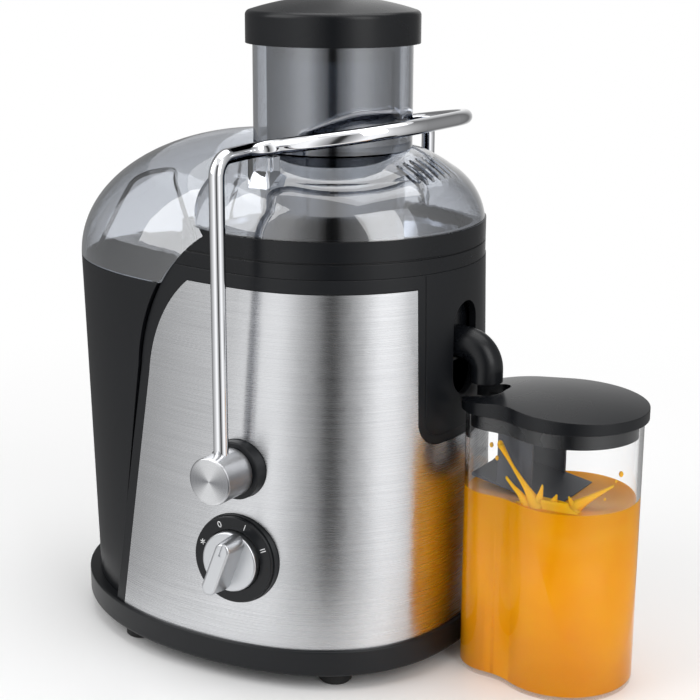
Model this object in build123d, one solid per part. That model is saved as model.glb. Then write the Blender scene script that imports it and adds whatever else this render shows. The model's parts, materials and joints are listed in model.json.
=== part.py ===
from build123d import *
import math
import os

# Centrifugal juicer, in millimetres. The feed chute's axis is x = y = 0 while the pieces are
# made: the jug stands at +X, the pulp container at -X, and the speed dial faces -Y.
# Every piece is moved along X by CENTRE_SHIFT at the end, which centres the whole on the origin.
CENTRE_SHIFT = -10

# Heights above the table
FOOT_TOP = 8
PLATFORM = 23
DECK = 165
CONTAINER_TOP = 213
STEEL_TOP = 217.5
SHOULDER = 225
RING_TOP = 245
CHUTE_SHOULDER = 283
CHUTE_TOP = 339

# Body outline at the platform and at the shoulder: centre, reach to the jug, reach to the
# pulp container, half width, and how square the jug end is
BASE_OUTLINE = (-32, 118, 128, 99, 2.4)
TOP_OUTLINE = (0, 86, 167, 86, 2.0)
OUTLINE_STEPS = 12
BASE_RIM = 2
WALL = 4
SHEET = 0.8

# Edge of the black frame, seen from the front as (x, z)
FRAME_FOOT = (-92, PLATFORM)
FRAME_KNEE = (-73, 165)
FRAME_BEND = (-58, 213)
FRAME_TIP = (-22, RING_TOP)

# Edge of the steel wrap inside that frame
STEEL_FOOT = (-84, PLATFORM)
STEEL_KNEE = (-66, 163)
STEEL_BEND = (-57, 195)
STEEL_TIP = (-38, STEEL_TOP)

# Black tongue that carries the spout on the jug side
TONGUE_HALF = 38
TONGUE_FOOT = 131
TONGUE_CORNER = 14
PANEL_HALF = 33
PANEL_FOOT = 136
SEAM = 0.3

# Round parts on the chute axis
BULGE_R = 84
RECESS_R = 80.5
CUP_R = 80
CUP_WALL = 2.5
CUP_FLOOR = 172
HUB_R = 20
HUB_BORE = 17
NECK_R = 40
NECK_BORE = 37.5
NECK_FOOT = 198
HOPPER_R = 44
HOPPER_BORE = 41.5
LID_WALL = 2.5

# Hood of the lid over the pulp container, a third of an egg
HOOD_CENTRE = (-40, 0, CONTAINER_TOP)
HOOD_SEMI = (127, 84, 77)

# Pusher
PUSHER_R = 36.5
PUSHER_WALL = 3
PUSHER_FOOT = 203
PUSHER_SEAT = CHUTE_TOP + SEAM
KEY_WIDTH = 6
CAP_R = 47.9
CAP_TOP = 364
CAP_CROWN_R = 150

# Locking bail
ROD_R = 4
BAIL_Y = 107
BAIL_SHOULDER_Y = 68
BAIL_REACH = 66
BAIL_TOP = 288
BAIL_TIP = 300
PIVOT_Z = 121
KNOB_R = 13
KNOB_INNER = 97.3
KNOB_OUTER = 118
PIN_R = 5
PIN_INNER = 86
BOSS_R = 16
RUNNING = 0.05

# Speed dial, square to the wall it stands on
DIAL_CENTRE = (0, -96.2, 71)
DIAL_TURN = 5
DIAL_TILT = 3
DIAL_RING_R = 24
DIAL_BOSS_DEPTH = 10
DIAL_REST = -20
DIAL_KNOB_R = 16.5
STEM_R = 3

# Jug: a round body with a neck that reaches under the spout
JUG_CENTRE = (147, 9)
JUG_R = 37.5
NECK_END = 90
NECK_HALF = 29.5
NECK_CORNER = 20
NECK_BLEND = 30
JUG_WALL = 2.2
JUG_FLOOR = 2.5
JUG_TOP = 150
JUG_LID_RIM = 2.5
JUG_LID_CROWN = 161.5
JUG_LID_DOME = 230
NOTCH_HALF = 12
NOTCH_END = 111

# Spout
SPOUT_R = 9
SPOUT_BORE = 7
SPOUT_X = 99
SPOUT_Z = 183
SPOUT_FOOT = 163

# Motor and drive, on the chute axis
SHAFT_R = 4
SHAFT_SPAN = (26, 178)
STATOR_R = 38
STATOR_SPAN = (82, 130)
STATOR_BORE = 21.6
ROTOR_R = 21
LOWER_PLATE = 50
UPPER_PLATE = 142
PLATE = 4
POSTS = [(x, y) for x in (-29, 29) for y in (-10, 10)]
DAMPERS = [(x, y) for x in (-30, 30) for y in (-30, 30)]
BASKET_FOOT = 188.5
BASKET_TOP = 238
BASKET_FOOT_R = 44
BASKET_TOP_R = 68

GLAND_R = 4.4
GLAND_Z = 15.3
FEET = [(45, -66), (45, 66), (-82, -78), (-82, 78)]
SCREWS = [(60, -58), (60, 58), (-118, -45), (-118, 45)]


def mix(low, high, share):
    return low + (high - low) * share


def level_of(z):
    return (z - PLATFORM) / (SHOULDER - PLATFORM)


def tube(outer, inner, low, high):
    ring = Circle(outer) - Circle(inner)
    return extrude(Pos(0, 0, low) * ring, amount=high - low)


def rod(radius, low, high, at=(0, 0)):
    return extrude(Pos(at[0], at[1], low) * Circle(radius), amount=high - low)


def block(x, y, z):
    centre = ((x[0] + x[1]) / 2, (y[0] + y[1]) / 2, (z[0] + z[1]) / 2)
    return Pos(*centre) * Box(x[1] - x[0], y[1] - y[0], z[1] - z[0])


def side_rod(radius, inner, outer, side, x=0, z=PIVOT_Z):
    # a round bar across the machine, from inner to outer on the front (-1) or the back (1)
    plane = Plane(origin=(x, side * inner, z), x_dir=(1, 0, 0), z_dir=(0, side, 0))
    return extrude(plane * Circle(radius), amount=outer - inner)


def across(*edges):
    # a front view outline in x and z, drawn out through the whole depth
    return extrude(Plane.XZ * make_face(Curve() + list(edges)), amount=160, both=True)


def body_outline(z, grow=0):
    share = level_of(z)
    centre, ahead, astern, half, power = [mix(a, b, share) for a, b in zip(BASE_OUTLINE, TOP_OUTLINE)]
    points = []
    for step in range(OUTLINE_STEPS + 1):
        angle = math.radians(-90 + 180 * step / OUTLINE_STEPS)
        across_share = math.copysign(abs(math.sin(angle)) ** (2 / power), angle)
        ahead_share = max(math.cos(angle), 0) ** (2 / power)
        points.append((centre + (ahead + grow) * ahead_share, (half + grow) * across_share))
    bow = Spline(*points)
    stern = EllipticalCenterArc((centre, 0), astern + grow, half + grow, start_angle=90, arc_size=180)
    return Pos(0, 0, z) * make_face(Curve() + [bow, stern])


def body_solid(grow, low=PLATFORM, high=SHOULDER):
    return loft([body_outline(low, grow), body_outline(high, grow)], ruled=True)


def frame_side():
    # all that lies on the jug side of the frame's edge, up to the top of the ring
    return across(
        Line(FRAME_FOOT, FRAME_KNEE),
        ThreePointArc(FRAME_KNEE, FRAME_BEND, FRAME_TIP),
        Polyline(FRAME_TIP, (200, RING_TOP), (200, 0), (FRAME_FOOT[0], 0), FRAME_FOOT),
    )


def tongue(half, foot, corner, high):
    # an upright tab on the jug side with rounded lower corners
    tab = Plane.YZ * Pos(0, (foot + high) / 2) * Rectangle(2 * half, high - foot)
    solid = extrude(Pos(60, 0, 0) * tab, amount=60)
    lower = solid.edges().filter_by(Axis.X).group_by(Axis.Z)[0]
    return fillet(lower, corner)


def steel_area(gap):
    area = across(
        Line(STEEL_FOOT, STEEL_KNEE),
        ThreePointArc(STEEL_KNEE, STEEL_BEND, STEEL_TIP),
        Polyline(STEEL_TIP, (200, STEEL_TOP), (200, PLATFORM), STEEL_FOOT),
    )
    area = area + Pos(-gap, 0, 0) * area + Pos(0, 0, gap) * area
    return area - tongue(TONGUE_HALF - gap, TONGUE_FOOT + gap, TONGUE_CORNER, SHOULDER + 10)


def dial_plane():
    turn = math.radians(DIAL_TURN)
    tilt = math.radians(DIAL_TILT)
    normal = (math.sin(turn) * math.cos(tilt), -math.cos(turn) * math.cos(tilt), math.sin(tilt))
    return Plane(origin=DIAL_CENTRE, x_dir=(math.cos(turn), math.sin(turn), 0), z_dir=normal)


def on_dial(radius, low, high):
    return dial_plane() * rod(radius, low, high)


def make_base():
    shell = extrude(body_outline(PLATFORM, BASE_RIM), amount=FOOT_TOP - PLATFORM)
    shell = fillet(shell.edges().group_by(Axis.Z)[0], 2)
    shell = fillet(shell.edges().group_by(Axis.Z)[-1], 1)
    shell -= extrude(Pos(0, 0, -3) * body_outline(PLATFORM, -1), amount=-20)
    motor_well = extrude(body_outline(PLATFORM, -16), amount=-10)
    shell -= motor_well & block((-80, 120), (-120, 120), (0, 40))
    for spot in SCREWS:
        shell += rod(5, FOOT_TOP + 2.5, PLATFORM - 2, spot)
        shell -= rod(2, FOOT_TOP, PLATFORM - 4, spot)
    return shell - side_rod(GLAND_R + 0.1, 90, 110, 1, BASE_OUTLINE[0], GLAND_Z)


def make_base_plate():
    plate = extrude(Pos(0, 0, FOOT_TOP - PLATFORM) * body_outline(PLATFORM, -1.4), amount=2.5)
    for row in range(9):
        y = -32 + 8 * row
        reach = math.sqrt(40 ** 2 - y ** 2)
        plate -= block((-reach, reach), (y - 1.6, y + 1.6), (0, 20))
    for spot in SCREWS:
        plate -= rod(2, 0, 20, spot)
    return plate


def make_feet():
    feet = []
    for spot in FEET:
        foot = rod(9, 0, FOOT_TOP, spot)
        feet.append(chamfer(foot.edges().group_by(Axis.Z)[0], 1))
    return feet


def make_screws():
    screws = []
    for spot in SCREWS:
        screws.append(rod(3.5, FOOT_TOP - 2, FOOT_TOP, spot) + rod(1.6, FOOT_TOP, PLATFORM - 6, spot))
    return screws


def make_gland():
    x = BASE_OUTLINE[0]
    gland = side_rod(GLAND_R, 97, 108, 1, x, GLAND_Z) + side_rod(GLAND_R + 1.2, 101.2, 103.5, 1, x, GLAND_Z)
    return gland - side_rod(GLAND_R - 1.4, 90, 110, 1, x, GLAND_Z)


def make_housing():
    jug_side = frame_side()
    bulge = rod(BULGE_R, PLATFORM, SHOULDER)
    shell = (body_solid(0) & jug_side) + bulge
    inner = body_solid(-WALL, PLATFORM - 5) & (Pos(WALL, 0, 0) * jug_side)
    inner += rod(BULGE_R - WALL, PLATFORM - 5, SHOULDER)
    shell -= inner & block((-200, 200), (-200, 200), (0, DECK))
    shell -= rod(RECESS_R, DECK + 3, SHOULDER + 5)
    shell -= rod(14, DECK - 5, DECK + 5)
    pocket = body_solid(3, PLATFORM - 5) - body_solid(-SHEET - 0.25, PLATFORM - 5)
    shell -= pocket & steel_area(SEAM)
    shell -= tongue(PANEL_HALF + SEAM, PANEL_FOOT, TONGUE_CORNER - 5, SHOULDER + 10)
    for side in (-1, 1):
        boss = side_rod(BOSS_R, PIN_INNER - 4, KNOB_INNER - 0.4, side)
        shell += fillet(boss.edges().sort_by(Axis.Y)[0 if side < 0 else -1], 1)
        shell -= side_rod(PIN_R + RUNNING, PIN_INNER - 5, KNOB_INNER, side)
    shell += on_dial(DIAL_RING_R + 0.6, -DIAL_BOSS_DEPTH, 0)
    return shell - on_dial(STEM_R + 2, -DIAL_BOSS_DEPTH - 1, 1)


def make_steel_wrap():
    sheet = (body_solid(0) - body_solid(-SHEET, PLATFORM - 5, SHOULDER + 5)) & steel_area(0)
    for side in (-1, 1):
        sheet -= side_rod(BOSS_R + SEAM, 60, 120, side)
    return sheet - on_dial(DIAL_RING_R + 0.9, -20, 20)


def make_spout_panel():
    panel = body_solid(0) - body_solid(-WALL, PLATFORM - 5, SHOULDER + 5)
    panel &= tongue(PANEL_HALF, PANEL_FOOT, TONGUE_CORNER - 5, SHOULDER)
    window = Plane.YZ * Pos(0, 180) * SlotOverall(52, 25, rotation=90)
    return panel - extrude(Pos(60, 0, 0) * window, amount=60)


def make_juice_bowl():
    height = RING_TOP - SHOULDER
    ring = extrude(body_outline(SHOULDER, -SEAM), amount=height) & frame_side()
    ring += rod(BULGE_R, SHOULDER, RING_TOP)
    groove = body_outline(SHOULDER, 5) - body_outline(SHOULDER, -1)
    ring -= extrude(Pos(0, 0, 8) * groove, amount=1)
    bowl = ring + rod(CUP_R, CUP_FLOOR, RING_TOP)
    bowl -= rod(CUP_R - CUP_WALL, CUP_FLOOR + CUP_WALL, RING_TOP + 5)
    bowl += rod(HUB_R, CUP_FLOOR, CUP_FLOOR + 12)
    bowl -= rod(HUB_BORE, CUP_FLOOR - 5, CUP_FLOOR + 20)
    # the rim is lower where the pulp is thrown across
    bowl -= block((-120, -58), (-60, 60), (SHOULDER + 7, RING_TOP + 5))
    route = FilletPolyline(
        (CUP_R - CUP_WALL - 1, 0, SPOUT_Z),
        (SPOUT_X, 0, SPOUT_Z - 1),
        (SPOUT_X, 0, SPOUT_FOOT),
        radius=13,
    )
    start = Plane(origin=route @ 0, z_dir=route % 0)
    bowl += sweep(start * Circle(SPOUT_R), path=route) - rod(CUP_R - CUP_WALL, CUP_FLOOR, RING_TOP)
    bowl -= sweep(start * Circle(SPOUT_BORE), path=route)
    return bowl


def dome(shrink):
    # the round part of the lid, between the ring and the chute
    rim = 85 - shrink
    roof = CHUTE_SHOULDER - shrink
    flank = ThreePointArc((rim, RING_TOP), (80.4 - shrink, 258.6 - shrink), (67 - shrink, 272 - shrink))
    brow = ThreePointArc(
        (67 - shrink, 272 - shrink),
        (56.5 - shrink / 2, 278.4 - shrink),
        (HOPPER_R, roof),
    )
    rest = Polyline((HOPPER_R, roof), (0, roof), (0, RING_TOP), (rim, RING_TOP))
    return revolve(Plane.XZ * make_face(Curve() + [flank, brow, rest]), Axis.Z)


def hood(shrink):
    return Pos(*HOOD_CENTRE) * scale(Sphere(1), by=tuple(semi - shrink for semi in HOOD_SEMI))


def make_lid():
    shell = dome(0) + hood(0)
    shell -= hood(LID_WALL)
    shell -= dome(LID_WALL)
    shell &= block((-200, 200), (-200, 200), (CONTAINER_TOP + SEAM, 400))
    shell -= Pos(-SEAM, 0, 0) * frame_side()
    shell -= rod(BULGE_R + SEAM, CONTAINER_TOP, RING_TOP)
    # feed chute: a wide hopper above a neck that reaches into the basket
    hopper = rod(HOPPER_R, CHUTE_SHOULDER - 3, CHUTE_TOP)
    shell += hopper + rod(NECK_R, NECK_FOOT, CHUTE_SHOULDER)
    shell -= rod(NECK_BORE, NECK_FOOT - 5, CHUTE_TOP)
    mouth = Cone(NECK_BORE, HOPPER_BORE, 12, align=(Align.CENTER, Align.CENTER, Align.MIN))
    shell -= Pos(0, 0, CHUTE_SHOULDER - 8) * mouth
    shell -= rod(HOPPER_BORE, CHUTE_SHOULDER + 4, CHUTE_TOP + 5)
    shell += block((NECK_BORE - 1.6, NECK_BORE + 1), (-KEY_WIDTH / 2, KEY_WIDTH / 2), (NECK_FOOT, 272))
    # steam slots above the spout
    for step in range(-3, 4):
        shell -= block((53, 67), (6.5 * step - 1.1, 6.5 * step + 1.1), (262, 290))
    # saddles that the bail presses on
    for side in (-1, 1):
        saddle = block((-7, 7), (60, 72), (250, BAIL_TOP + 1 - ROD_R - SEAM))
        saddle = Rot(0, 0, 0 if side > 0 else 180) * fillet(saddle.edges().filter_by(Axis.Z), 2)
        shell += saddle - dome(LID_WALL / 2)
    return shell


def make_pusher_tube():
    pusher = rod(PUSHER_R, PUSHER_FOOT, PUSHER_SEAT)
    pusher = fillet(pusher.edges().group_by(Axis.Z)[0], 2)
    pusher -= rod(PUSHER_R - PUSHER_WALL, PUSHER_FOOT + PUSHER_WALL, PUSHER_SEAT + 5)
    groove_floor = PUSHER_R - 1.2
    width = KEY_WIDTH / 2 + 0.7
    return pusher - block((groove_floor, PUSHER_R + 5), (-width, width), (PUSHER_FOOT - 5, CHUTE_TOP - 3))


def make_pusher_cap():
    crown = Pos(0, 0, CAP_TOP - CAP_CROWN_R) * Sphere(CAP_CROWN_R)
    cap = rod(CAP_R, PUSHER_SEAT, CAP_TOP + 5) & crown
    rim = cap.edges().sort_by(SortBy.LENGTH)[-2:].sort_by(Axis.Z)[-1]
    cap = fillet(rim, 3)
    cap -= rod(PUSHER_R - PUSHER_WALL - 3, PUSHER_SEAT - 5, CAP_TOP - 10)
    plug = PUSHER_R - PUSHER_WALL - 0.4
    return cap + tube(plug, plug - 2.6, PUSHER_SEAT - 8, PUSHER_SEAT + 1)


def make_bail_rod():
    seat = PIVOT_Z + 3
    route = FilletPolyline(
        (0, -BAIL_Y, seat),
        (0, -BAIL_Y, BAIL_TOP),
        (0, -BAIL_SHOULDER_Y, BAIL_TOP + 1),
        (BAIL_REACH, -BAIL_SHOULDER_Y, BAIL_TIP),
        (BAIL_REACH, BAIL_SHOULDER_Y, BAIL_TIP),
        (0, BAIL_SHOULDER_Y, BAIL_TOP + 1),
        (0, BAIL_Y, BAIL_TOP),
        (0, BAIL_Y, seat),
        radius=[10, 14, 50, 50, 14, 10],
    )
    return sweep(Plane(origin=route @ 0, z_dir=route % 0) * Circle(ROD_R), path=route)


def make_pivot_knobs():
    knobs = []
    for side in (-1, 1):
        knob = side_rod(KNOB_R, KNOB_INNER, KNOB_OUTER, side)
        face = knob.edges().sort_by(Axis.Y)[0 if side < 0 else -1]
        knob = fillet(face, 1.2)
        knob += side_rod(PIN_R, PIN_INNER, KNOB_INNER + 1, side)
        knobs.append(knob - rod(ROD_R + RUNNING, PIVOT_Z + 3, PIVOT_Z + 20, (0, side * BAIL_Y)))
    return knobs


def make_dial_ring():
    ring = rod(DIAL_RING_R, 0, 2.4)
    ring = fillet(ring.edges().group_by(Axis.Z)[-1], 0.8)
    ring -= rod(DIAL_KNOB_R + 0.5, 1, 5) + rod(STEM_R + 2, -1, 5)
    return dial_plane() * ring


def make_dial_knob():
    knob = rod(DIAL_KNOB_R, 1.5, 7)
    knob = fillet(knob.edges().group_by(Axis.Z)[-1], 1.2)
    grip = extrude(Pos(0, 0, 6) * SlotOverall(2 * DIAL_KNOB_R + 1, 11, rotation=90), amount=15, taper=5)
    grip = fillet(grip.edges().group_by(Axis.Z)[-1], 1.5)
    pointer = block((-0.7, 0.7), (DIAL_KNOB_R - 8, DIAL_KNOB_R + 2), (20.3, 25))
    knob = knob + grip - pointer + rod(STEM_R, -DIAL_BOSS_DEPTH - 12, 2)
    return dial_plane() * Rot(0, 0, DIAL_REST) * knob


def make_rotary_switch():
    back = -DIAL_BOSS_DEPTH
    body = block((-13, 13), (-13, 13), (back - 18, back))
    for x in (-8, 0, 8):
        body += block((x - 2.4, x + 2.4), (-0.4, 0.4), (back - 26, back - 18))
    return dial_plane() * (body - rod(STEM_R + RUNNING, back - 14, back + 1))


def jug_outline(grow=0):
    neck_middle = (NECK_END + JUG_CENTRE[0]) / 2
    neck = Pos(neck_middle, JUG_CENTRE[1]) * Rectangle(JUG_CENTRE[0] - NECK_END, 2 * NECK_HALF)
    shape = neck + Pos(*JUG_CENTRE) * Circle(JUG_R)
    corners = shape.vertices().group_by(Axis.X)
    shape = fillet(corners[0], NECK_CORNER)
    waist_x = JUG_CENTRE[0] - math.sqrt(JUG_R ** 2 - NECK_HALF ** 2)
    waist = [corner for corner in shape.vertices() if abs(corner.X - waist_x) < 0.1]
    shape = fillet(waist, NECK_BLEND)
    return offset(shape, grow) if grow else shape


def make_jug():
    jug = extrude(jug_outline(), amount=JUG_TOP)
    jug = fillet(jug.edges().group_by(Axis.Z)[0], 2)
    return jug - extrude(Pos(0, 0, JUG_FLOOR) * jug_outline(-JUG_WALL), amount=JUG_TOP)


def make_jug_lid():
    rest = JUG_TOP + SEAM
    cover = extrude(Pos(0, 0, rest) * jug_outline(JUG_LID_RIM), amount=20)
    middle = (NECK_END + JUG_CENTRE[0] + JUG_R) / 2
    cover &= Pos(middle, JUG_CENTRE[1], JUG_LID_CROWN - JUG_LID_DOME) * Sphere(JUG_LID_DOME)
    skirt_line = -JUG_WALL - 0.5
    cover += extrude(Pos(0, 0, rest - 9) * jug_outline(skirt_line), amount=9)
    cover -= extrude(Pos(0, 0, rest - 15) * jug_outline(skirt_line - 2), amount=18)
    mouth = block((NECK_END - 20, NOTCH_END), (-NOTCH_HALF, NOTCH_HALF), (rest - 20, rest + 30))
    return cover - fillet(mouth.edges().filter_by(Axis.Z).group_by(Axis.X)[-1], 8)


def make_foam_baffle():
    # a sloping shelf on two straps, which holds the froth back
    hang = JUG_TOP + SEAM - 9
    low = JUG_CENTRE[1] - 22
    high = JUG_CENTRE[1] + 22
    shelf = across(
        Polyline((99, 115), (150, 106), (150, 104), (99, 113), (99, 115)),
    )
    shelf &= block((90, 160), (low, high), (100, 120))
    for y in (JUG_CENTRE[1] - 21, JUG_CENTRE[1] + 21):
        strap = across(Polyline((114, 111), (134, 107.5), (134, hang), (114, hang), (114, 111)))
        shelf += strap & block((90, 160), (y - 1, y + 1), (100, 150))
    return shelf


def container_solid(shrink, low, high):
    foot = Pos(-32, 0, low) * Ellipse(123 - shrink, 95 - shrink)
    head = Pos(HOOD_CENTRE[0], 0, high) * Ellipse(HOOD_SEMI[0] - shrink, HOOD_SEMI[1] - shrink)
    solid = loft([foot, head], ruled=True)
    solid -= Pos(-1.5 - shrink, 0, 0) * frame_side()
    return solid - rod(BULGE_R + 2 + shrink, 0, 300)


def make_pulp_container():
    foot = PLATFORM + SEAM
    shell = container_solid(0, foot, CONTAINER_TOP)
    hollow = container_solid(2.4, foot, CONTAINER_TOP) & block((-200, 0), (-120, 120), (foot + 2.5, 300))
    return shell - hollow


def make_stator():
    stack = rod(STATOR_R, *STATOR_SPAN) & block((-32, 32), (-STATOR_R, STATOR_R), STATOR_SPAN)
    for x in (-16, 16):
        for y in (-27, 27):
            stack -= block((x - 3.1, x + 3.1), (y - 4.6, y + 4.6), STATOR_SPAN)
    return stack - rod(STATOR_BORE, *STATOR_SPAN)


def make_field_coils():
    coils = []
    for y in (-27, 27):
        loop = block((-19, 19), (y - 4.5, y + 4.5), (STATOR_SPAN[0] - 6, STATOR_SPAN[1] + 6))
        coils.append(loop - block((-13, 13), (y - 9, y + 9), STATOR_SPAN))
    return coils


def make_lower_bracket():
    plate = rod(42, LOWER_PLATE, LOWER_PLATE + PLATE) - rod(9.2, 0, 100)
    for spot in POSTS:
        plate += rod(2.5, LOWER_PLATE + PLATE, STATOR_SPAN[0], spot)
    for spot in PolarLocations(25, 4, 45):
        plate -= spot * rod(9, 0, 100)
    return plate


def make_upper_bracket():
    plate = rod(52, UPPER_PLATE, UPPER_PLATE + PLATE) - rod(9.2, 100, 200)
    for spot in POSTS:
        plate += rod(2.5, STATOR_SPAN[1], UPPER_PLATE, spot)
    for spot in PolarLocations(28, 4):
        plate -= spot * rod(11, UPPER_PLATE + 1.5, 200)
    return plate


def make_bearing(plate_top):
    bush = tube(9, SHAFT_R + RUNNING, plate_top - PLATE - 2, plate_top + 5)
    return bush + tube(12, SHAFT_R + RUNNING, plate_top, plate_top + 2)


def make_dampers():
    return [rod(7, UPPER_PLATE + PLATE, DECK, spot) for spot in DAMPERS]


def make_brush_holders():
    holders = []
    for side in (-1, 1):
        box = block((14, 30), (-6, 6), (LOWER_PLATE + PLATE, 74))
        box -= block((10, 40), (-4.1, 4.1), (61.9, 72.1))
        holders.append(Rot(0, 0, 0 if side > 0 else 180) * box)
    return holders


def make_brushes():
    return [Rot(0, 0, turn) * block((12.5, 26), (-4, 4), (61.9, 72)) for turn in (0, 180)]


def make_shaft_seal():
    return tube(20, SHAFT_R + 0.6, DECK + 3, DECK + 5) + tube(13.8, SHAFT_R + 0.6, DECK - 2, DECK + 3)


def make_interlock_switch():
    body = block((-34, -14), (-74, -64), (DECK - 15, DECK))
    for x in (-32, -17):
        body += block((x, x + 1), (-72, -66), (DECK - 21, DECK - 15))
    return body


def make_rotor():
    core = rod(ROTOR_R, *STATOR_SPAN)
    for spot in PolarLocations(ROTOR_R, 12):
        core -= spot * block((-5, 2), (-1, 1), STATOR_SPAN)
    for low in (STATOR_SPAN[0] - 6, STATOR_SPAN[1]):
        core += rod(16, low, low + 6)
    return core - rod(SHAFT_R, 0, 200)


def make_commutator():
    drum = tube(12, SHAFT_R, 60, STATOR_SPAN[0] - 7)
    for spot in PolarLocations(12, 16):
        drum -= spot * block((-1.5, 1), (-0.35, 0.35), (59, 80))
    return drum


def make_fan():
    fan = tube(9, SHAFT_R, 29, 42) + tube(34, 9, 40, 42)
    for spot in PolarLocations(21, 12):
        fan += spot * block((-12.5, 12), (-0.8, 0.8), (30, 40.5))
    return fan


def make_coupling():
    drive = rod(13, CUP_FLOOR, CUP_FLOOR + 8)
    drive += extrude(Pos(0, 0, CUP_FLOOR + 8) * RegularPolygon(10, 6), amount=8)
    return drive - rod(SHAFT_R, 0, SHAFT_SPAN[1])


def make_filter_basket():
    height = BASKET_TOP - BASKET_FOOT
    stand = (Align.CENTER, Align.CENTER, Align.MIN)
    basket = Cone(BASKET_FOOT_R, BASKET_TOP_R, height, align=stand)
    basket -= Pos(0, 0, 1.5) * Cone(BASKET_FOOT_R - 1.2, BASKET_TOP_R - 1.2, height, align=stand)
    basket = Pos(0, 0, BASKET_FOOT) * basket
    lean = math.degrees(math.atan((BASKET_TOP_R - BASKET_FOOT_R) / height))
    slot = Pos((BASKET_FOOT_R + BASKET_TOP_R) / 2, 0, (BASKET_FOOT + BASKET_TOP) / 2) * Rot(0, lean, 0)
    for spot in PolarLocations(0, 30):
        basket -= spot * slot * Box(8, 2.2, 36)
    basket += tube(BASKET_TOP_R + 2.5, BASKET_TOP_R - 1.5, BASKET_TOP - 1, BASKET_TOP + 2.5)
    basket += rod(15.5, CUP_FLOOR + 8.5, BASKET_FOOT + 1.5)
    return basket - extrude(Pos(0, 0, CUP_FLOOR + 8) * RegularPolygon(10, 6), amount=8)


def make_grater_disc():
    top = BASKET_FOOT + 1.5
    disc = rod(41, top, top + 1.2)
    for radius, count in ((14, 9), (24, 15), (34, 21)):
        for spot in PolarLocations(radius, count):
            disc += spot * block((-1.4, 1.4), (-0.5, 0.5), (top + 1, top + 2.6))
    return disc


def write(name, pieces):
    shape = pieces if isinstance(pieces, list) else [pieces]
    solids = [Pos(CENTRE_SHIFT, 0, 0) * solid for piece in shape for solid in piece.solids()]
    part = solids[0] if len(solids) == 1 else Compound(children=solids)
    export_step(part, "parts/" + name + ".step")


os.makedirs("parts", exist_ok=True)
write("base", make_base())
write("base_plate", make_base_plate())
write("feet", make_feet())
write("base_screws", make_screws())
write("cord_gland", make_gland())
write("housing", make_housing())
write("steel_wrap", make_steel_wrap())
write("spout_panel", make_spout_panel())
write("juice_bowl", make_juice_bowl())
write("lid", make_lid())
write("pusher_tube", make_pusher_tube())
write("pusher_cap", make_pusher_cap())
write("bail_rod", make_bail_rod())
write("pivot_knobs", make_pivot_knobs())
write("dial_ring", make_dial_ring())
write("dial_knob", make_dial_knob())
write("rotary_switch", make_rotary_switch())
write("jug", make_jug())
write("jug_lid", make_jug_lid())
write("foam_baffle", make_foam_baffle())
write("pulp_container", make_pulp_container())
write("stator", make_stator())
write("field_coils", make_field_coils())
write("lower_bracket", make_lower_bracket())
write("upper_bracket", make_upper_bracket())
write("lower_bearing", make_bearing(LOWER_PLATE + PLATE))
write("upper_bearing", make_bearing(UPPER_PLATE + PLATE))
write("motor_dampers", make_dampers())
write("brush_holders", make_brush_holders())
write("carbon_brushes", make_brushes())
write("shaft_seal", make_shaft_seal())
write("interlock_switch", make_interlock_switch())
write("motor_shaft", rod(SHAFT_R, *SHAFT_SPAN))
write("rotor", make_rotor())
write("commutator", make_commutator())
write("cooling_fan", make_fan())
write("drive_coupling", make_coupling())
write("filter_basket", make_filter_basket())
write("grater_disc", make_grater_disc())
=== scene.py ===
import bpy
import bmesh
import json
import math
from mathutils import Matrix, Vector


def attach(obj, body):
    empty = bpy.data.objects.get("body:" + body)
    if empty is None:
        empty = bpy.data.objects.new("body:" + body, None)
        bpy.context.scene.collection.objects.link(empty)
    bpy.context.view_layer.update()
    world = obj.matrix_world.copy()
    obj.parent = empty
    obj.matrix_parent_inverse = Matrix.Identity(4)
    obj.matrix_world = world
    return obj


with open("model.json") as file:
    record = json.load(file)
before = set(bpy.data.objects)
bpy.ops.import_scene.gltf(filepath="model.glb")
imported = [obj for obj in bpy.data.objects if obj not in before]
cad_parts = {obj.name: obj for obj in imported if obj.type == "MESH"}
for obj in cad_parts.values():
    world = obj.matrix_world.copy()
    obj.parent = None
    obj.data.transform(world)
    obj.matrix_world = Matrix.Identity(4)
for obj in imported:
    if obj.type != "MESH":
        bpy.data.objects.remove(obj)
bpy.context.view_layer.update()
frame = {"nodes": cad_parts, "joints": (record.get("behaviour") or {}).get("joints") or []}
nodes = frame["nodes"]
joints = {joint["name"]: joint for joint in frame["joints"]}
mm = 0.001
colourA, colourB, colourOut = 6, 7, 2  # the Mix node's sockets for colours
print("frame loaded:", len(nodes), "nodes")


def linear(hexColour):
    channels = [int(hexColour[i:i + 2], 16) / 255 for i in (1, 3, 5)]
    curved = [c / 12.92 if c <= 0.04045 else ((c + 0.055) / 1.055) ** 2.4 for c in channels]
    return (*curved, 1.0)


def addNode(tree, kind, inputs=None, **settings):
    node = tree.nodes.new(kind)
    for name, value in settings.items():
        setattr(node, name, value)
    for name, value in (inputs or {}).items():
        if isinstance(value, bpy.types.NodeSocket):
            tree.links.new(value, node.inputs[name])
        else:
            node.inputs[name].default_value = value
    return node


def newMaterial(name, **sockets):
    material = bpy.data.materials.new(name)
    material.use_nodes = True
    shader = material.node_tree.nodes["Principled BSDF"]
    for socket, value in sockets.items():
        shader.inputs[socket.replace("_", " ")].default_value = value
    return material, material.node_tree, shader


def addObject(name, data):
    made = bpy.data.objects.new(name, data)
    bpy.context.scene.collection.objects.link(made)
    return made


def meshFrom(name, mesh):
    data = bpy.data.meshes.new(name)
    mesh.to_mesh(data)
    mesh.free()
    return data


# turns text or a curve into a mesh, before its place is applied
def meshOfCurve(name, curve):
    holder = addObject(name, curve)
    bpy.context.view_layer.update()
    graph = bpy.context.evaluated_depsgraph_get()
    data = bpy.data.meshes.new_from_object(holder.evaluated_get(graph))
    bpy.data.objects.remove(holder)
    return data


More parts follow.
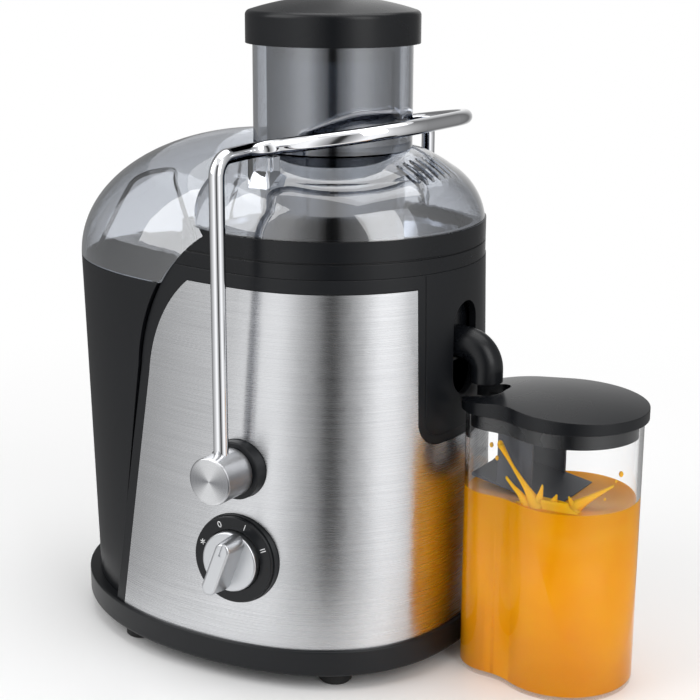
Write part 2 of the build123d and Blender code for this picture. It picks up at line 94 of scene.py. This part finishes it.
def finishPiece(name, mesh, body, material):
    bmesh.ops.recalc_face_normals(mesh, faces=mesh.faces)
    data = meshFrom(name, mesh)
    for face in data.polygons:
        face.use_smooth = True
    piece = addObject(name, data)
    data.materials.append(material)
    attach(piece, body)
    return piece


# moulded ABS: satin black, with a spark-eroded grain and softly rounded edges
absSettings = {
    "grain": 0.9 * mm,  # coarser than the real 0.1 mm, so that it shows
    "grainDepth": 0.1 * mm, "grainStrength": 0.05,
    "patch": 45 * mm, "duller": 0.05, "shinier": 0.04, "edge": 0.7 * mm}


def mouldedAbs(name, colours, roughness):
    material, tree, shader = newMaterial(name, IOR=1.53, Specular_IOR_Level=0.27)
    coords = addNode(tree, "ShaderNodeTexCoord")
    fine = addNode(tree, "ShaderNodeTexNoise", {
        "Vector": coords.outputs["Object"], "Scale": 1 / absSettings["grain"], "Detail": 2.0})
    broad = addNode(tree, "ShaderNodeTexNoise", {
        "Vector": coords.outputs["Object"], "Scale": 1 / absSettings["patch"], "Detail": 3.0})
    sheen = addNode(tree, "ShaderNodeMapRange", {
        "Value": broad.outputs["Fac"],
        "To Min": roughness - absSettings["shinier"],
        "To Max": roughness + absSettings["duller"]})
    tone = addNode(tree, "ShaderNodeMix", {
        "Factor": broad.outputs["Fac"],
        colourA: linear(colours[0]), colourB: linear(colours[1])}, data_type="RGBA")
    rounded = addNode(tree, "ShaderNodeBevel", {"Radius": absSettings["edge"]}, samples=4)
    bump = addNode(tree, "ShaderNodeBump", {
        "Height": fine.outputs["Fac"], "Strength": absSettings["grainStrength"],
        "Distance": absSettings["grainDepth"], "Normal": rounded.outputs["Normal"]})
    tree.links.new(tone.outputs[colourOut], shader.inputs["Base Color"])
    tree.links.new(sheen.outputs["Result"], shader.inputs["Roughness"])
    tree.links.new(bump.outputs["Normal"], shader.inputs["Normal"])
    return material


# brushed stainless sheet: short scratches along the wrap stretch every reflection upright
steelSettings = {
    "lineWidth": 0.35 * mm,  # coarser than the real 0.05 mm, so that it shows
    "lineLength": 70 * mm, "lineDepth": 0.05 * mm, "lineStrength": 0.06, "spread": 0.07}


def brushedStainless(name, colours, roughness):
    material, tree, shader = newMaterial(
        name, Metallic=1.0, Anisotropic=0.75, Anisotropic_Rotation=0.25)
    coords = addNode(tree, "ShaderNodeTexCoord")
    along, across = 1 / steelSettings["lineLength"], 1 / steelSettings["lineWidth"]
    stretch = addNode(tree, "ShaderNodeMapping", {
        "Vector": coords.outputs["Object"], "Scale": (along, along, across)})
    lines = addNode(tree, "ShaderNodeTexNoise", {
        "Vector": stretch.outputs["Vector"], "Scale": 1.0, "Detail": 4.0, "Roughness": 0.65})
    tone = addNode(tree, "ShaderNodeMix", {
        "Factor": lines.outputs["Fac"],
        colourA: linear(colours[0]), colourB: linear(colours[1])}, data_type="RGBA")
    rough = addNode(tree, "ShaderNodeMapRange", {
        "Value": lines.outputs["Fac"],
        "To Min": roughness - steelSettings["spread"],
        "To Max": roughness + steelSettings["spread"]})
    bump = addNode(tree, "ShaderNodeBump", {
        "Height": lines.outputs["Fac"], "Strength": steelSettings["lineStrength"],
        "Distance": steelSettings["lineDepth"]})
    wrapped = addNode(tree, "ShaderNodeTangent", direction_type="RADIAL", axis="Z")
    tree.links.new(tone.outputs[colourOut], shader.inputs["Base Color"])
    tree.links.new(rough.outputs["Result"], shader.inputs["Roughness"])
    tree.links.new(bump.outputs["Normal"], shader.inputs["Normal"])
    tree.links.new(wrapped.outputs["Tangent"], shader.inputs["Tangent"])
    return material


# turned aluminium: lathe rings round the pivot, and a painted highlight, a fan of light out from
# the centre painted into its colour
knobSettings = {
    "ringPitch": 0.25 * mm, "ringShare": 0.3, "roughness": (0.22, 0.36),
    "colours": ("#77787c", "#d9dadc"),
    # the fan settings shape a painted highlight in the colour: bright and dark lobes round the
    # pivot
    "paintedFans": 2, "paintedFanFrom": 1.0, "paintedFanTo": -0.6, "paintedFanBright": 0.85}


def turnedAluminium(name, centre):
    material, tree, shader = newMaterial(
        name, Metallic=1.0, Anisotropic=0.8, Anisotropic_Rotation=0.25)
    coords = addNode(tree, "ShaderNodeTexCoord")
    centred = addNode(tree, "ShaderNodeMapping", {
        "Vector": coords.outputs["Object"], "Location": tuple(-c for c in centre)})
    split = addNode(tree, "ShaderNodeSeparateXYZ", {"Vector": centred.outputs["Vector"]})
    flat = addNode(tree, "ShaderNodeCombineXYZ", {
        "X": split.outputs["X"], "Z": split.outputs["Z"]})
    radius = addNode(tree, "ShaderNodeVectorMath", {
        0: flat.outputs["Vector"]}, operation="LENGTH")
    rings = addNode(tree, "ShaderNodeTexNoise", {
        "W": radius.outputs["Value"], "Scale": 1 / knobSettings["ringPitch"],
        "Detail": 2.0}, noise_dimensions="1D")
    # painted highlight: the fan of light is painted into the colour, a cosine of the angle round
    # the pivot
    face = addNode(tree, "ShaderNodeCombineXYZ", {
        "X": split.outputs["X"], "Y": split.outputs["Z"]})
    turn = addNode(tree, "ShaderNodeTexGradient", {
        "Vector": face.outputs["Vector"]}, gradient_type="RADIAL")
    paintedLobes = addNode(tree, "ShaderNodeMath", {
        0: turn.outputs["Fac"], 1: knobSettings["paintedFans"] * math.tau}, operation="MULTIPLY")
    paintedFan = addNode(tree, "ShaderNodeMath", {0: paintedLobes.outputs["Value"]}, operation="COSINE")
    sheen = addNode(tree, "ShaderNodeMapRange", {
        "Value": paintedFan.outputs["Value"], "From Min": knobSettings["paintedFanFrom"],
        "From Max": knobSettings["paintedFanTo"], "To Min": 0.0, "To Max": knobSettings["paintedFanBright"]})
    # the colour mixes the lathe rings with the painted highlight
    ringsAndPaintedFan = addNode(tree, "ShaderNodeMath", {
        0: rings.outputs["Fac"], 1: knobSettings["ringShare"],
        2: sheen.outputs["Result"]}, operation="MULTIPLY_ADD")
    dark, bright = knobSettings["colours"]
    tone = addNode(tree, "ShaderNodeMix", {
        "Factor": ringsAndPaintedFan.outputs["Value"],
        colourA: linear(dark), colourB: linear(bright)}, data_type="RGBA")
    low, high = knobSettings["roughness"]
    rough = addNode(tree, "ShaderNodeMapRange", {
        "Value": rings.outputs["Fac"], "To Min": low, "To Max": high})
    around = addNode(tree, "ShaderNodeTangent", direction_type="RADIAL", axis="Y")
    tree.links.new(tone.outputs[colourOut], shader.inputs["Base Color"])
    tree.links.new(rough.outputs["Result"], shader.inputs["Roughness"])
    tree.links.new(around.outputs["Tangent"], shader.inputs["Tangent"])
    return material


# bright plated, painted or ground metal: a mirror with a faint polishing haze
metalSettings = {"haze": 17 * mm, "clean": 0.6, "hazed": 1.5}


def brightMetal(name, colour, roughness):
    material, tree, shader = newMaterial(name, Metallic=1.0, Base_Color=linear(colour))
    coords = addNode(tree, "ShaderNodeTexCoord")
    haze = addNode(tree, "ShaderNodeTexNoise", {
        "Vector": coords.outputs["Object"], "Scale": 1 / metalSettings["haze"], "Detail": 3.0})
    rough = addNode(tree, "ShaderNodeMapRange", {
        "Value": haze.outputs["Fac"],
        "To Min": roughness * metalSettings["clean"],
        "To Max": roughness * metalSettings["hazed"]})
    tree.links.new(rough.outputs["Result"], shader.inputs["Roughness"])
    return material


# clear styrene: moulded and glossy, tinted through its wall
styreneSettings = {"haze": 22 * mm, "clean": 0.5, "hazed": 1.5, "ior": 1.57, "coatIor": 2.0}


def clearStyrene(name, colour, roughness, coat, ior=styreneSettings["ior"]):
    material, tree, shader = newMaterial(
        name, IOR=ior, Base_Color=linear(colour), Transmission_Weight=1.0,
        Coat_Weight=coat, Coat_IOR=styreneSettings["coatIor"])
    coords = addNode(tree, "ShaderNodeTexCoord")
    haze = addNode(tree, "ShaderNodeTexNoise", {
        "Vector": coords.outputs["Object"], "Scale": 1 / styreneSettings["haze"], "Detail": 2.0})
    rough = addNode(tree, "ShaderNodeMapRange", {
        "Value": haze.outputs["Fac"],
        "To Min": roughness * styreneSettings["clean"],
        "To Max": roughness * styreneSettings["hazed"]})
    tree.links.new(rough.outputs["Result"], shader.inputs["Roughness"])
    # lamp light, soft light and mirrored rays pass straight through to what stands inside
    path = addNode(tree, "ShaderNodeLightPath")
    soft = addNode(tree, "ShaderNodeMath", {
        0: path.outputs["Is Shadow Ray"],
        1: path.outputs["Is Diffuse Ray"]}, operation="MAXIMUM")
    # a ray seen through plastic also counts as glossy, so that is taken off again
    mirrored = addNode(tree, "ShaderNodeMath", {
        0: path.outputs["Is Glossy Ray"],
        1: path.outputs["Is Transmission Ray"]}, operation="SUBTRACT", use_clamp=True)
    passing = addNode(tree, "ShaderNodeMath", {
        0: soft.outputs["Value"], 1: mirrored.outputs["Value"]}, operation="MAXIMUM")
    through = addNode(tree, "ShaderNodeBsdfTransparent", {"Color": linear(colour)})
    mixed = addNode(tree, "ShaderNodeMixShader", {
        0: passing.outputs["Value"], 1: shader.outputs["BSDF"], 2: through.outputs["BSDF"]})
    tree.links.new(mixed.outputs["Shader"], tree.nodes["Material Output"].inputs["Surface"])
    return material


# rubber, copper wire, bronze, iron, carbon and printing ink: dull, with a fine speck
dullSettings = {"bumpStrength": 0.15, "bumpDepth": 0.1 * mm}


def dullPiece(name, colours, roughness, metallic, grain):
    material, tree, shader = newMaterial(name, Metallic=metallic, Roughness=roughness)
    coords = addNode(tree, "ShaderNodeTexCoord")
    speck = addNode(tree, "ShaderNodeTexNoise", {
        "Vector": coords.outputs["Object"], "Scale": 1 / grain, "Detail": 3.0})
    tone = addNode(tree, "ShaderNodeMix", {
        "Factor": speck.outputs["Fac"],
        colourA: linear(colours[0]), colourB: linear(colours[1])}, data_type="RGBA")
    bump = addNode(tree, "ShaderNodeBump", {
        "Height": speck.outputs["Fac"], "Strength": dullSettings["bumpStrength"],
        "Distance": dullSettings["bumpDepth"]})
    tree.links.new(tone.outputs[colourOut], shader.inputs["Base Color"])
    tree.links.new(bump.outputs["Normal"], shader.inputs["Normal"])
    return material


# fresh orange juice: cloudy with pulp, so light sinks in and glows back
cloudSettings = {"pulp": 28 * mm, "depth": 6 * mm, "redGreenBlue": (1.0, 0.45, 0.08)}


def orangeJuice(name, colours):
    material, tree, shader = newMaterial(
        name, Roughness=0.2, IOR=1.34, Specular_IOR_Level=0.1, Subsurface_Weight=0.35,
        Subsurface_Scale=cloudSettings["depth"], Subsurface_Radius=cloudSettings["redGreenBlue"])
    coords = addNode(tree, "ShaderNodeTexCoord")
    pulp = addNode(tree, "ShaderNodeTexNoise", {
        "Vector": coords.outputs["Object"], "Scale": 1 / cloudSettings["pulp"], "Detail": 4.0})
    tone = addNode(tree, "ShaderNodeMix", {
        "Factor": pulp.outputs["Fac"],
        colourA: linear(colours[0]), colourB: linear(colours[1])}, data_type="RGBA")
    tree.links.new(tone.outputs[colourOut], shader.inputs["Base Color"])
    return material


pivotX, _, pivotZ = joints["bail_swing"]["pos_m"]
satinBlack = mouldedAbs("SatinBlackABS", ("#0d0f12", "#14161a"), roughness=0.38)
glossBlack = mouldedAbs("PolishedBlackABS", ("#0b0d10", "#121418"), roughness=0.27)
greyAbs = mouldedAbs("DarkGreyABS", ("#3a3c42", "#4a4d54"), roughness=0.42)
silverPaint = brightMetal("SilverPaintedABS", "#c6c8cb", roughness=0.3)
steel = brushedStainless("BrushedStainlessSheet", ("#b2b3b6", "#dcdddf"), roughness=0.27)
steelBright = brightMetal("StampedStainless", "#c9cacd", roughness=0.18)
chrome = brightMetal("ChromedRod", "#e4e5e8", roughness=0.05)
turned = turnedAluminium("TurnedAluminium", (pivotX, 0, pivotZ))
smoky = clearStyrene("SmokyStyrene", "#dcdfe4", roughness=0.03, coat=0.6)
smokyDark = clearStyrene("DarkSmokyStyrene", "#8a8f97", roughness=0.05, coat=1.0)
# the jug's index is set below that of real styrene, 1.59, to match the photograph
clear = clearStyrene("ClearStyrene", "#ffffff", roughness=0.02, coat=0.1, ior=1.2)
rubber = dullPiece(
    "BlackRubber", ("#131313", "#1d1d1d"), roughness=0.8, metallic=0.0, grain=0.8 * mm)
copper = dullPiece(
    "EnamelledCopper", ("#7a3515", "#b8622c"), roughness=0.4, metallic=0.9, grain=0.6 * mm)
bronze = dullPiece(
    "SinteredBronze", ("#8a6a2c", "#a8843c"), roughness=0.5, metallic=1.0, grain=0.3 * mm)
iron = dullPiece(
    "LaminatedIron", ("#4a4b4e", "#65666a"), roughness=0.5, metallic=1.0, grain=0.5 * mm)
carbon = dullPiece(
    "PressedCarbon", ("#18181a", "#26262a"), roughness=0.6, metallic=0.0, grain=0.4 * mm)
whiteInk = dullPiece(
    "WhitePadPrint", ("#e6e7e8", "#f2f2f2"), roughness=0.5, metallic=0.0, grain=0.5 * mm)
juiceMaterial = orangeJuice("OrangeJuice", ("#e88c00", "#f4aa06"))
juiceThin = orangeJuice("ThinOrangeJuice", ("#f0a404", "#ffc226"))

finishes = {
    satinBlack: ["base", "base_plate", "housing", "spout_panel", "pulp_container"],
    glossBlack: ["juice_bowl", "pusher_cap", "dial_ring", "jug_lid"],
    greyAbs: ["foam_baffle", "drive_coupling", "cooling_fan", "rotary_switch",
              "interlock_switch", "brush_holders"],
    silverPaint: ["dial_knob"],
    steel: ["steel_wrap"],
    steelBright: ["filter_basket", "grater_disc", "motor_shaft", "base_screws",
                  "lower_bracket", "upper_bracket"],
    chrome: ["bail_rod"],
    turned: ["pivot_knobs"],
    smoky: ["lid"],
    smokyDark: ["pusher_tube"],
    clear: ["jug"],
    rubber: ["feet", "motor_dampers", "shaft_seal", "cord_gland"],
    copper: ["field_coils", "commutator"],
    bronze: ["lower_bearing", "upper_bearing"],
    iron: ["stator", "rotor"],
    carbon: ["carbon_brushes"],
}
for material, names in finishes.items():
    for name in names:
        nodes[name].data.materials.clear()
        nodes[name].data.materials.append(material)
print("finishes given to", sum(len(names) for names in finishes.values()), "nodes")

# juice: the inside of the jug's own wall, cut off at the filling line
juiceSettings = {
    "floorGap": 2.7 * mm, "level": 106 * mm, "bite": 0.4 * mm,
    "merge": 0.01 * mm, "onPlane": 1e-7, "rimWidth": 1.0 * mm, "rimDrop": 0.6 * mm,
    "nearlyUp": 0.9}


def makeJuice():
    mesh = bmesh.new()
    mesh.from_mesh(nodes["jug"].data)
    bmesh.ops.remove_doubles(mesh, verts=mesh.verts, dist=juiceSettings["merge"])
    for height, side in ((juiceSettings["floorGap"], -1), (juiceSettings["level"], 1)):
        bmesh.ops.bisect_plane(
            mesh, geom=mesh.verts[:] + mesh.edges[:] + mesh.faces[:],
            dist=juiceSettings["onPlane"], plane_co=(0, 0, height),
            plane_no=(0, 0, side), clear_outer=True)
    # the outer wall is the one that reaches furthest towards +X
    furthest = max(mesh.verts, key=lambda vert: vert.co.x)
    outer = {furthest}
    front = [furthest]
    while front:
        vert = front.pop()
        for edge in vert.link_edges:
            other = edge.other_vert(vert)
            if other not in outer:
                outer.add(other)
                front.append(other)
    bmesh.ops.delete(mesh, geom=list(outer), context="VERTS")
    rim = [edge for edge in mesh.edges if edge.is_boundary]
    bmesh.ops.holes_fill(mesh, edges=rim, sides=0)
    bmesh.ops.recalc_face_normals(mesh, faces=mesh.faces)
    for vert in mesh.verts:
        vert.normal_update()
    # it bites a little into the wall, so that no gap of air shows between the two
    outward = [Vector((vert.normal.x, vert.normal.y, 0)).normalized() for vert in mesh.verts]
    for vert, way in zip(mesh.verts[:], outward):
        bmesh.ops.translate(mesh, vec=way * juiceSettings["bite"], verts=[vert])
    surface = [face for face in mesh.faces if face.normal.z > juiceSettings["nearlyUp"]]
    bmesh.ops.inset_region(
        mesh, faces=surface, thickness=juiceSettings["rimWidth"],
        depth=-juiceSettings["rimDrop"])
    return finishPiece("juice", mesh, "jug", juiceMaterial)


juice = makeJuice()
print("juice poured:", len(juice.data.polygons), "faces")

# splash: a low crown and drawn-out drops that rise from the surface in front of the baffle
splashSettings = {
    "drops": (  # each point: x, y, z, thickness, in millimetres
        ((131, -18, 104, 5.0), (127, -18.5, 111, 2.2), (121, -18.8, 119, 1.1),
         (114, -18.5, 128, 0.8), (108, -18, 135.5, 1.9)),
        ((126, -18.5, 104, 3.5), (122, -19, 110, 1.6), (117, -19, 114, 1.0),
         (113, -19, 118, 0.8)),
        ((146, -14, 104, 5.0), (153, -12, 110, 2.6), (160, -8.5, 115, 1.3),
         (166.5, -4.5, 119.5, 0.6)),
        ((138, -16.5, 104, 4.5), (139, -17, 109, 2.0), (141, -17.5, 113, 0.7)),
        ((130, -18, 104, 3.5), (132.5, -18.5, 112, 1.5), (133.5, -19, 117.5, 0.6)),
        ((150, -14, 104, 4.0), (149, -14.5, 109, 1.8), (147, -15, 112.5, 0.6))),
    "beads": (  # x, y, z, radius
        (101, -14.5, 133, 1.2), (105.5, -16.5, 127, 1.1), (168, 2, 124.5, 1.3),
        (167, -2, 121.5, 0.7), (163, -6, 112, 0.7)),
    "beadShape": (0.9, 0.9, 1.25),
    "crown": (  # radius, height
        (3.5, -1), (5, 2), (6.2, 4.6), (6.9, 4.4), (7.6, 2), (9.5, 0.4), (12, -1)),
    "crownAt": (136, -17.4, 105.6), "crownWide": (1.7, 0.33, 1), "crownSteps": 40,
    "merge": 0.005 * mm}


def tubeMesh(name, points, radii, depth):
    curve = bpy.data.curves.new(name, "CURVE")
    curve.dimensions = "3D"
    curve.bevel_depth = depth
    curve.bevel_resolution = 3
    curve.use_fill_caps = True
    spline = curve.splines.new("NURBS")
    spline.points.add(len(points) - 1)
    for point, place, radius in zip(spline.points, points, radii):
        point.co = (place[0] * mm, place[1] * mm, place[2] * mm, 1)
        point.radius = radius
    spline.order_u = 3
    spline.use_endpoint_u = True
    spline.resolution_u = 10
    return meshOfCurve(name, curve)


def makeSplash():
    mesh = bmesh.new()
    for path in splashSettings["drops"]:
        mesh.from_mesh(tubeMesh("drop", path, [point[3] for point in path], mm))
    before = set(mesh.verts)
    profile = [mesh.verts.new((radius * mm, 0, height * mm))
               for radius, height in splashSettings["crown"]]
    lines = [mesh.edges.new(pair) for pair in zip(profile, profile[1:] + profile[:1])]
    bmesh.ops.spin(
        mesh, geom=profile + lines, cent=(0, 0, 0), axis=(0, 0, 1), angle=math.tau,
        steps=splashSettings["crownSteps"], use_merge=True)
    crown = [vert for vert in mesh.verts if vert not in before]
    bmesh.ops.scale(mesh, vec=splashSettings["crownWide"], verts=crown)
    crownAt = [part * mm for part in splashSettings["crownAt"]]
    bmesh.ops.translate(mesh, vec=crownAt, verts=crown)
    # loose beads, and one at the tip of each drop
    tips = tuple(path[-1] for path in splashSettings["drops"])
    for x, y, z, radius in splashSettings["beads"] + tips:
        bead = bmesh.ops.create_icosphere(mesh, subdivisions=3, radius=radius * mm)["verts"]
        bmesh.ops.scale(mesh, vec=splashSettings["beadShape"], verts=bead)
        bmesh.ops.translate(mesh, vec=(x * mm, y * mm, z * mm), verts=bead)
    bmesh.ops.remove_doubles(mesh, verts=mesh.verts, dist=splashSettings["merge"])
    return finishPiece("juiceSplash", mesh, "jug", juiceThin)


splash = makeSplash()
print("splash raised:", len(splash.data.polygons), "faces")

# hood rib: a raised line inside the hood, front and back, that frames the pulp outlet
ribSettings = {
    "path": (  # in millimetres
        (-128, -61.6, 222), (-116, -50.2, 255), (-109, -45.4, 263.5), (-82, -46.8, 269.5),
        (-77, -55.5, 264), (-68, -62.7, 258), (-56, -71.8, 246), (-44, -76.9, 234)),
    "radius": 1.2 * mm}


def makeHoodRib():
    mesh = bmesh.new()
    path = ribSettings["path"]
    mesh.from_mesh(tubeMesh("rib", path, [1.0] * len(path), ribSettings["radius"]))
    bmesh.ops.mirror(
        mesh, geom=mesh.verts[:] + mesh.edges[:] + mesh.faces[:], axis="Y", merge_dist=0)
    return finishPiece("hoodRib", mesh, "body", satinBlack)


hoodRib = makeHoodRib()
print("hood ribbed:", len(hoodRib.data.polygons), "faces")

# dial marks: pad printed on the ring, each at its angle clockwise from the top
dialSettings = {
    "marks": (("0", -25), ("I", 20), ("II", 65)), "pulseAt": -70, "pulseBars": 3,
    "bar": (0.5 * mm, 3.2 * mm), "size": 5.0 * mm, "radius": 20.2 * mm,
    "lift": 2.42 * mm, "ink": 0.04 * mm, "merge": 0.001 * mm}


def dialFrame():
    joint = joints["dial_turn"]
    normal = Vector(joint["axis"]).normalized()
    right = Vector((0, 0, 1)).cross(normal).normalized()
    up = normal.cross(right)
    turn = Matrix((right, up, normal)).transposed().to_4x4()
    return Matrix.Translation(joint["pos_m"]) @ turn


def placeMark(name, mesh, angle):
    spin = Matrix.Rotation(math.radians(-angle), 4, "Z")
    offset = Matrix.Translation((0, dialSettings["radius"], dialSettings["lift"]))
    bmesh.ops.remove_doubles(mesh, verts=mesh.verts, dist=dialSettings["merge"])
    bmesh.ops.transform(mesh, matrix=dialFrame() @ spin @ offset, verts=mesh.verts)
    for edge in mesh.edges:
        edge.smooth = False  # ink lies flat, with a crisp edge
    finishPiece(name, mesh, "body", whiteInk)


def makeLetter(text):
    curve = bpy.data.curves.new("mark", "FONT")
    curve.body = text
    curve.size = dialSettings["size"]
    curve.extrude = dialSettings["ink"]
    curve.align_x = "CENTER"
    curve.align_y = "CENTER"
    mesh = bmesh.new()
    mesh.from_mesh(meshOfCurve("mark", curve))
    return mesh


def makePulse():
    mesh = bmesh.new()
    for step in range(dialSettings["pulseBars"]):
        bar = bmesh.ops.create_cube(mesh, size=1.0)["verts"]
        bmesh.ops.scale(mesh, vec=(*dialSettings["bar"], 2 * dialSettings["ink"]), verts=bar)
        turn = Matrix.Rotation(math.pi * step / dialSettings["pulseBars"], 3, "Z")
        bmesh.ops.rotate(mesh, cent=(0, 0, 0), matrix=turn, verts=bar)
    return mesh


for text, angle in dialSettings["marks"]:
    placeMark("dialMark" + text, makeLetter(text), angle)
placeMark("dialMarkPulse", makePulse(), dialSettings["pulseAt"])
print("dial marked")

# studio: a pale floor that turns white away from the part, in white surroundings
stageSettings = {
    "floor": "#fbfbfb", "roughness": 0.3, "specular": 0.2, "reach": 6.0,
    "whiteFrom": 0.2, "whiteBy": 0.75, "ambient": 0.55}


# rays that show the surroundings: straight from the camera, mirrored, or through plastic
def showingRays(tree):
    path = addNode(tree, "ShaderNodeLightPath")
    seen = addNode(tree, "ShaderNodeMath", {
        0: path.outputs["Is Camera Ray"],
        1: path.outputs["Is Glossy Ray"]}, operation="MAXIMUM")
    shown = addNode(tree, "ShaderNodeMath", {
        0: seen.outputs["Value"],
        1: path.outputs["Is Transmission Ray"]}, operation="MAXIMUM")
    return shown.outputs["Value"]


def makeStage():
    mesh = bmesh.new()
    bmesh.ops.create_grid(mesh, x_segments=1, y_segments=1, size=stageSettings["reach"])
    data = meshFrom("floor", mesh)
    floor = addObject("floor", data)
    material, tree, shader = newMaterial(
        "PaleFloor", Base_Color=linear(stageSettings["floor"]),
        Roughness=stageSettings["roughness"], Specular_IOR_Level=stageSettings["specular"])
    coords = addNode(tree, "ShaderNodeTexCoord")
    distance = addNode(tree, "ShaderNodeVectorMath", {
        0: coords.outputs["Object"]}, operation="LENGTH")
    away = addNode(tree, "ShaderNodeMapRange", {
        "Value": distance.outputs["Value"], "From Min": stageSettings["whiteFrom"],
        "From Max": stageSettings["whiteBy"]}, interpolation_type="SMOOTHSTEP")
    fade = addNode(tree, "ShaderNodeMath", {
        0: showingRays(tree), 1: away.outputs["Result"]}, operation="MULTIPLY")
    white = addNode(tree, "ShaderNodeEmission", {"Color": (1, 1, 1, 1), "Strength": 1.0})
    mixed = addNode(tree, "ShaderNodeMixShader", {
        0: fade.outputs["Value"], 1: shader.outputs["BSDF"], 2: white.outputs["Emission"]})
    tree.links.new(mixed.outputs["Shader"], tree.nodes["Material Output"].inputs["Surface"])
    data.materials.append(material)


# a tent round the part, seen only in reflections: dark behind the camera and behind the part,
# bright at both sides
tentSettings = {
    "inner": 0.21, "outer": 2.4, "height": 2.6, "lift": 0.8 * mm, "segments": 96,
    "facing": 32.24,
    "tones": (  # degrees from the camera's side, strength
        (0, 0.03), (4, 0.06), (9, 0.34), (20, 0.66), (34, 1.25), (48, 1.2), (64, 0.8),
        (86, 0.55), (112, 0.32), (142, 0.18), (180, 0.3))}


def makeTent():
    mesh = bmesh.new()
    bmesh.ops.create_circle(
        mesh, segments=tentSettings["segments"], radius=tentSettings["inner"])
    spread = tentSettings["outer"] / tentSettings["inner"]
    ring = bmesh.ops.extrude_edge_only(mesh, edges=mesh.edges[:])["geom"]
    ringVerts = [item for item in ring if isinstance(item, bmesh.types.BMVert)]
    ringEdges = [item for item in ring if isinstance(item, bmesh.types.BMEdge)]
    bmesh.ops.scale(mesh, vec=(spread, spread, 1), verts=ringVerts)
    wall = bmesh.ops.extrude_edge_only(mesh, edges=ringEdges)["geom"]
    wallVerts = [item for item in wall if isinstance(item, bmesh.types.BMVert)]
    bmesh.ops.translate(mesh, vec=(0, 0, tentSettings["height"]), verts=wallVerts)
    bmesh.ops.translate(mesh, vec=(0, 0, tentSettings["lift"]), verts=mesh.verts)
    mesh.normal_update()
    if min(face.normal.z for face in mesh.faces) < -0.5:
        bmesh.ops.reverse_faces(mesh, faces=mesh.faces)
    data = meshFrom("tent", mesh)
    tent = addObject("tent", data)
    material, tree, shader = newMaterial("TentCloth")
    tree.nodes.remove(shader)
    coords = addNode(tree, "ShaderNodeTexCoord")
    turn = math.radians(90 - tentSettings["facing"])
    facing = addNode(tree, "ShaderNodeMapping", {
        "Vector": coords.outputs["Object"], "Rotation": (0, 0, turn)})
    angle = addNode(tree, "ShaderNodeTexGradient", {
        "Vector": facing.outputs["Vector"]}, gradient_type="RADIAL")
    ramp = addNode(tree, "ShaderNodeValToRGB", {"Fac": angle.outputs["Fac"]})
    stops = {(0.5 + side * away / 360, tone)
             for away, tone in tentSettings["tones"] for side in (-1, 1)}
    for place, tone in sorted(stops):
        stop = ramp.color_ramp.elements.new(min(max(place, 0.0), 1.0))
        stop.color = (tone, tone, tone, 1)
    ramp.color_ramp.elements.remove(ramp.color_ramp.elements[0])
    glow = addNode(tree, "ShaderNodeEmission", {
        "Color": ramp.outputs["Color"], "Strength": 1.0})
    # from below it lets the floor's own reflection through
    side = addNode(tree, "ShaderNodeNewGeometry")
    clearSide = addNode(tree, "ShaderNodeBsdfTransparent")
    mixed = addNode(tree, "ShaderNodeMixShader", {
        0: side.outputs["Backfacing"], 1: glow.outputs["Emission"],
        2: clearSide.outputs["BSDF"]})
    tree.links.new(mixed.outputs["Shader"], tree.nodes["Material Output"].inputs["Surface"])
    data.materials.append(material)
    tent.visible_camera = False
    tent.visible_diffuse = False
    tent.visible_transmission = False
    tent.visible_shadow = False


# soft boxes: where each stands and looks, in metres, its size and its power in watts
lampSettings = {
    "softBoxLeft": {
        "location": (-1.1, -1.2, 1.3), "target": (0, 0, 0.15), "size": (1.5, 1.6), "power": 16},
    "softBoxRight": {
        "location": (1.5, -0.5, 1.0), "target": (0, 0, 0.15), "size": (0.9, 1.4), "power": 9},
    "softBoxTop": {
        "location": (0.0, 0.3, 1.9), "target": (0, 0, 0.1), "size": (1.8, 1.6), "power": 14}}


def makeSoftBox(name, location, target, size, power):
    light = bpy.data.lights.new(name, "AREA")
    light.shape = "RECTANGLE"
    light.size, light.size_y = size
    light.energy = power
    lamp = addObject(name, light)
    lamp.location = location
    lamp.rotation_mode = "QUATERNION"
    aim = Vector(target) - Vector(location)
    lamp.rotation_quaternion = aim.to_track_quat("-Z", "Y")


def makeWorld():
    world = bpy.data.worlds.new("WhiteStudio")
    bpy.context.scene.world = world
    world.use_nodes = True
    tree = world.node_tree
    strength = addNode(tree, "ShaderNodeMapRange", {
        "Value": showingRays(tree), "To Min": stageSettings["ambient"], "To Max": 1.0})
    background = tree.nodes["Background"]
    background.inputs["Color"].default_value = (1, 1, 1, 1)
    tree.links.new(strength.outputs["Result"], background.inputs["Strength"])


makeStage()
makeWorld()
for name, settings in lampSettings.items():
    makeSoftBox(name, **settings)
makeTent()

# camera: the photograph's own viewing angle, in metres, millimetres and degrees
cameraSettings = {
    "position": (0.4624, -0.7302, 0.3977), "target": (-0.00155, 0.00533, 0.16584),
    "lens": 80.78, "sensor": 36, "roll": 0.28}


def makeCamera():
    data = bpy.data.cameras.new("photoCamera")
    data.lens = cameraSettings["lens"]
    data.sensor_width = cameraSettings["sensor"]
    camera = addObject("photoCamera", data)
    look = Vector(cameraSettings["target"]) - Vector(cameraSettings["position"])
    level = look.to_track_quat("-Z", "Y")
    roll = Matrix.Rotation(math.radians(cameraSettings["roll"]), 3, "Z").to_quaternion()
    camera.rotation_mode = "QUATERNION"
    camera.rotation_quaternion = level @ roll
    camera.location = cameraSettings["position"]
    bpy.context.scene.camera = camera


makeCamera()
bpy.context.scene.view_settings.view_transform = "Standard"
print("studio ready")
